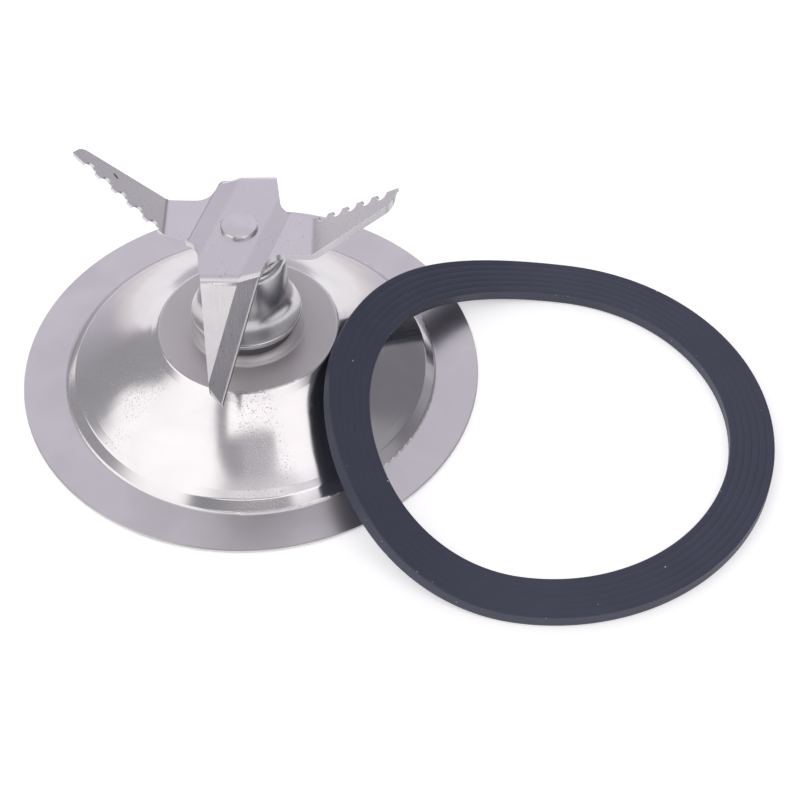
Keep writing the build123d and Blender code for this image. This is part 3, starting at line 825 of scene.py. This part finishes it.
def make_ring_tree():
    """Sweep a section round a circle, curl one half of the ring upwards and put it in its place."""
    tree, given, result = new_shape_tree(
        "Ridged Sealing Ring",
        {
            "Middle Radius": "Float",
            "Thickness": "Float",
            "Segments": "Int",
            "Curl Radius": "Float",
            "Curl Run": "Float",
            "Curl Turn": "Float",
            "Centre": "Vector",
            "Rubber": "Material",
        },
    )
    section = node(tree, "GeometryNodeMeshToCurve", {"Mesh": given["Geometry"]}).outputs[0]
    path = node(
        tree, "GeometryNodeCurvePrimitiveCircle", {"Resolution": given["Segments"], "Radius": given["Middle Radius"]}
    ).outputs[0]
    swept = node(tree, "GeometryNodeCurveToMesh", {"Curve": path, "Profile Curve": section}).outputs[0]
    half = maths(tree, "MULTIPLY", given["Thickness"], 0.5)
    lift = node(tree, "ShaderNodeCombineXYZ", {2: half}).outputs[0]
    lifted = node(tree, "GeometryNodeTransform", {"Geometry": swept, "Translation": lift}).outputs[0]
    place = node(tree, "GeometryNodeInputPosition").outputs[0]
    marked = node(
        tree,
        "GeometryNodeStoreNamedAttribute",
        {"Geometry": lifted, "Name": "flat_place", "Value": place},
        data_type="FLOAT_VECTOR",
        domain="POINT",
    ).outputs[0]
    parts = node(tree, "ShaderNodeSeparateXYZ", {0: place}).outputs
    curled = maths(tree, "MINIMUM", maths(tree, "MAXIMUM", parts[0], 0.0), given["Curl Run"])
    slope = maths(tree, "DIVIDE", curled, given["Curl Radius"])
    rest = maths(tree, "SUBTRACT", parts[0], curled)
    centre = maths(tree, "ADD", given["Curl Radius"], half)
    bend = maths(tree, "SUBTRACT", centre, parts[2])
    sine = maths(tree, "SINE", slope)
    cosine = maths(tree, "COSINE", slope)
    along = maths(tree, "ADD", maths(tree, "MULTIPLY", bend, sine), maths(tree, "MULTIPLY", rest, cosine))
    drop = maths(tree, "SUBTRACT", maths(tree, "MULTIPLY", bend, cosine), maths(tree, "MULTIPLY", rest, sine))
    rise = maths(tree, "SUBTRACT", centre, drop)
    moved = node(tree, "ShaderNodeCombineXYZ", {0: along, 1: parts[1], 2: rise}).outputs[0]
    bent = node(tree, "GeometryNodeSetPosition", {"Geometry": marked, "Position": moved}).outputs[0]
    turn = node(tree, "ShaderNodeCombineXYZ", {2: given["Curl Turn"]}).outputs[0]
    set_down = node(
        tree, "GeometryNodeTransform", {"Geometry": bent, "Translation": given["Centre"], "Rotation": turn}
    ).outputs[0]
    smooth = node(tree, "GeometryNodeSetShadeSmooth", {"Geometry": set_down, "Shade Smooth": True}).outputs[0]
    end_shape(tree, smooth, given["Rubber"], result)
    return tree


def ring_section(shape):
    """The ring's section as a closed line: rounded corners, and round-bottomed grooves on both faces."""
    half_width = shape.width / 2
    half_height = shape.thickness / 2
    rounding = shape.edge_rounding
    face = []
    for number in range(shape.groove_count):
        middle = (number - (shape.groove_count - 1) / 2) * shape.groove_pitch
        for step in range(-3, 4):
            across = step / 3
            drop = shape.groove_depth * math.cos(across * math.pi / 2) ** 2
            face.append((middle + across * shape.groove_width / 2, half_height - drop))
        if number < shape.groove_count - 1:
            face.append((middle + shape.groove_pitch / 2, half_height))
    corner = []
    for step in range(7):
        angle = math.radians(90 * (1 - step / 6))
        corner.append(
            (
                half_width - rounding + rounding * math.cos(angle),
                half_height - rounding + rounding * math.sin(angle),
            )
        )
    support = (half_width - 1.4 * rounding, half_height)
    flank = (half_width, half_height - 1.4 * rounding)
    right = [support, *corner, flank]
    top = face + right
    low_right = [(x, -z) for x, z in reversed(right)]
    low_face = [(x, -z) for x, z in reversed(face)]
    left = [(-x, -z) for x, z in right]
    high_left = [(-x, z) for x, z in reversed(right)]
    points = top + low_right + low_face + left + high_left
    mesh = bpy.data.meshes.new("ring_section")
    edges = [(number, (number + 1) % len(points)) for number in range(len(points))]
    mesh.from_pydata([(x, z, 0.0) for x, z in points], edges, [])
    return mesh


# Operators

class BLADE_UNIT_OT_base_plate(bpy.types.Operator):
    """Give the stamped base plate its polished and handled steel."""

    bl_idname = "blade_unit.base_plate"
    bl_label = "Base Plate"

    def execute(self, context):
        cover(plate_steel(context.scene.blade_unit_plate), "base_plate")
        return {"FINISHED"}


class BLADE_UNIT_OT_bearing_housing(bpy.types.Operator):
    """Turn the polished bell, with a soft flare and a rounded rim, from its section."""

    bl_idname = "blade_unit.bearing_housing"
    bl_label = "Bearing Housing"

    def execute(self, context):
        finish = context.scene.blade_unit_housing
        steel = turned_steel("housing_steel", finish.steel, finish.gloss, 0.00016, 0.1)
        bell = lathe("bearing_housing", self.section(finish))
        add_piece("bearing_housing_polished", bell, steel, "base", "housing_steel", "bearing_housing")
        return {"FINISHED"}

    def section(self, finish):
        """The housing's half section: bore, barrel, rounded rim, flare and bell, as radius and height."""
        low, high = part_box("bearing_housing")
        flare, edge = finish.flare_radius, finish.edge_break
        lean = math.acos(1 - (high.x - finish.bell_radius) / flare)
        round_base = arc(high.x - edge, finish.rim_base + edge, edge, -90, 0)
        round_top = arc(high.x - edge, finish.rim_top - edge, edge, 0, 90 - math.degrees(lean) / 2)
        flare_middle = (finish.bell_radius + flare, finish.rim_top + flare * math.sin(lean))
        flared = arc(*flare_middle, flare, 180 + math.degrees(lean) * 0.94, 180, 18)
        shoulder = arc(finish.bell_radius - finish.bell_edge, high.z - finish.bell_edge, finish.bell_edge, 0, 90)
        bore = [
            (finish.shaft_hole, high.z),
            (finish.shaft_hole, finish.bore_top),
            (finish.bore_radius, finish.bore_top),
            (finish.bore_radius, low.z),
            (finish.barrel_radius, low.z),
            (finish.barrel_radius, finish.rim_base),
        ]
        return [*round_base, *round_top, *flared, *shoulder, *bore]


class BLADE_UNIT_OT_blade(bpy.types.Operator):
    """Make the brushed blade with its stamped edges lightly rounded and its ground bands shallow."""

    bl_idname = "blade_unit.blade"
    bl_label = "Blade"

    def execute(self, context):
        finish = context.scene.blade_unit_blade
        mesh = edged_copy("blade", finish.edge_break, 14.0, 60.0, 5e-6, self.shallow(finish))
        add_piece("blade_brushed", mesh, blade_steel(finish), "rotor", "blade_steel", "blade")
        return {"FINISHED"}

    def shallow(self, finish):
        """The move that makes the ground bands on the flat part shallower."""
        top = finish.flat_top

        def move(place):
            if abs(place.y) < finish.flat_reach and 0 < top - place.z < 0.00025:
                return Vector((place.x, place.y, top - (top - place.z) * finish.band_share))
            return place

        return move


class BLADE_UNIT_OT_rotor_stack(bpy.types.Operator):
    """Make the shaft, spacer and thrust washers that turn with the blade."""

    bl_idname = "blade_unit.rotor_stack"
    bl_label = "Rotor Stack"

    def execute(self, context):
        finish = context.scene.blade_unit_rotor
        steel = turned_steel("turned_steel", finish.steel, finish.gloss, finish.mark_spacing, 0.05)
        pale = turned_steel("washer_steel", finish.washers, finish.washer_gloss, finish.mark_spacing, 0.0)
        for name, coat in (
            ("drive_shaft", steel),
            ("spacer_collar", steel),
            ("upper_thrust_washer", pale),
            ("lower_thrust_washer", pale),
        ):
            mesh = edged_copy(name, finish.edge_break)
            add_piece(name + "_turned", mesh, coat, "rotor", "turned_steel", name)
        return {"FINISHED"}


class BLADE_UNIT_OT_fasteners(bpy.types.Operator):
    """Give the nut, lock washer and clip their zinc plating."""

    bl_idname = "blade_unit.fasteners"
    bl_label = "Fasteners"

    def execute(self, context):
        cover(zinc_plate(context.scene.blade_unit_fasteners), "housing_nut", "lock_washer", "retaining_clip")
        return {"FINISHED"}


class BLADE_UNIT_OT_bearings(bpy.types.Operator):
    """Give the bushes, felt and seals their bronze, wool and rubber."""

    bl_idname = "blade_unit.bearings"
    bl_label = "Bushes and Seals"

    def execute(self, context):
        finish = context.scene.blade_unit_fasteners
        cover(bush_bronze(finish), "upper_bush", "lower_bush")
        cover(oiled_felt(finish), "oil_felt")
        cover(black_rubber(finish), "shaft_seal", "housing_seal_washer")
        return {"FINISHED"}


class BLADE_UNIT_OT_sealing_ring(bpy.types.Operator):
    """Make the grooved rubber ring, flat on the floor at one side and curled up onto the plate at the other."""

    bl_idname = "blade_unit.sealing_ring"
    bl_label = "Sealing Ring"

    def execute(self, context):
        shape = context.scene.blade_unit_ring
        rubber = ring_rubber(shape)
        low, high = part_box("sealing_ring")
        outer = shape.inner_radius + shape.width
        values = {
            "Middle Radius": shape.inner_radius + shape.width / 2,
            "Thickness": shape.thickness,
            "Segments": shape.segments,
            "Curl Radius": shape.curl_radius,
            "Curl Run": shape.curl_run,
            "Curl Turn": shape.curl_turn,
            "Centre": (high.x - outer, low.y + outer, 0.0),
            "Rubber": rubber,
        }
        mesh = run_tree("sealing_ring", make_ring_tree(), ring_section(shape), values)
        face_outwards(mesh)
        add_piece("sealing_ring_grooved", mesh, rubber, "base", "ring_rubber", "sealing_ring")
        return {"FINISHED"}


class BLADE_UNIT_OT_stage(bpy.types.Operator):
    """Make the pale floor, the soft light tent and the camera."""

    bl_idname = "blade_unit.stage"
    bl_label = "Stage"

    def execute(self, context):
        look = context.scene.blade_unit_stage
        half = look.floor_size / 2
        level = cad_low.z - 0.0002
        corners = [(-half, -half, level), (half, -half, level), (half, half, level), (-half, half, level)]
        mesh = bpy.data.meshes.new("floor")
        mesh.from_pydata(corners, [], [(0, 1, 2, 3)])
        mesh.materials.append(pale_floor(look))
        hold("floor", mesh)
        self.light(context.scene)
        eye = bpy.data.cameras.new("camera")
        eye.lens = look.lens / MILLIMETRE
        eye.sensor_width = look.sensor / MILLIMETRE
        eye.clip_start = 0.01
        camera = bpy.data.objects.new("camera", eye)
        camera.location = look.eye
        camera.rotation_euler = (look.tilt, 0.0, 0.0)
        context.scene.collection.objects.link(camera)
        context.scene.camera = camera
        context.scene.view_settings.view_transform = "Standard"
        return {"FINISHED"}

    def light(self, scene):
        """A light tent: grey walls, a lavender back, two soft boxes and the darker side of the viewer."""
        world = bpy.data.worlds.new("light_tent")
        world.use_nodes = True
        scene.world = world
        tree = world.node_tree
        tone = TENT_GREY
        for azimuth, half_width, low, high, blur, light in TENT_PANELS:
            panel = effect(
                tree, "Soft Panel", azimuth=azimuth, half_width=half_width, low=low, high=high, blur=blur
            )
            tone = mixed(tree, panel, tone, light)
        background = tree.nodes["Background"]
        tree.links.new(tone, background.inputs["Color"])


class BLADE_UNIT_PT_panel(bpy.types.Panel):
    """The blade unit's sizes and finishes, with a button for each piece."""

    bl_idname = "BLADE_UNIT_PT_panel"
    bl_label = "Blade Unit"
    bl_space_type = "VIEW_3D"
    bl_region_type = "UI"
    bl_category = "Blade Unit"

    def draw(self, context):
        for operator in OPERATORS:
            self.layout.operator(operator.bl_idname)
        for name, group in GROUPS.items():
            box = self.layout.box()
            box.label(text=group.__doc__)
            for key in group.__annotations__:
                box.prop(getattr(context.scene, name), key)


GROUPS = {
    "blade_unit_plate": PlateFinish,
    "blade_unit_housing": HousingFinish,
    "blade_unit_blade": BladeFinish,
    "blade_unit_rotor": RotorFinish,
    "blade_unit_fasteners": FastenerFinish,
    "blade_unit_ring": RingShape,
    "blade_unit_stage": StageLook,
}
OPERATORS = (
    BLADE_UNIT_OT_base_plate,
    BLADE_UNIT_OT_bearing_housing,
    BLADE_UNIT_OT_blade,
    BLADE_UNIT_OT_rotor_stack,
    BLADE_UNIT_OT_fasteners,
    BLADE_UNIT_OT_bearings,
    BLADE_UNIT_OT_sealing_ring,
    BLADE_UNIT_OT_stage,
)


def register():
    """Add the classes and hang the property groups on the scene."""
    for name, group in GROUPS.items():
        bpy.utils.register_class(group)
        setattr(bpy.types.Scene, name, PointerProperty(type=group))
    for made in (*OPERATORS, BLADE_UNIT_PT_panel):
        bpy.utils.register_class(made)


def unregister():
    """Take the classes and the property groups away again."""
    for made in (BLADE_UNIT_PT_panel, *reversed(OPERATORS)):
        bpy.utils.unregister_class(made)
    for name, group in GROUPS.items():
        delattr(bpy.types.Scene, name)
        bpy.utils.unregister_class(group)


def main():
    """Make every piece in order."""
    register()
    bpy.ops.blade_unit.base_plate()
    bpy.ops.blade_unit.bearing_housing()
    bpy.ops.blade_unit.blade()
    bpy.ops.blade_unit.rotor_stack()
    bpy.ops.blade_unit.fasteners()
    bpy.ops.blade_unit.bearings()
    bpy.ops.blade_unit.sealing_ring()
    bpy.ops.blade_unit.stage()


if __name__ == "__main__":
    main()
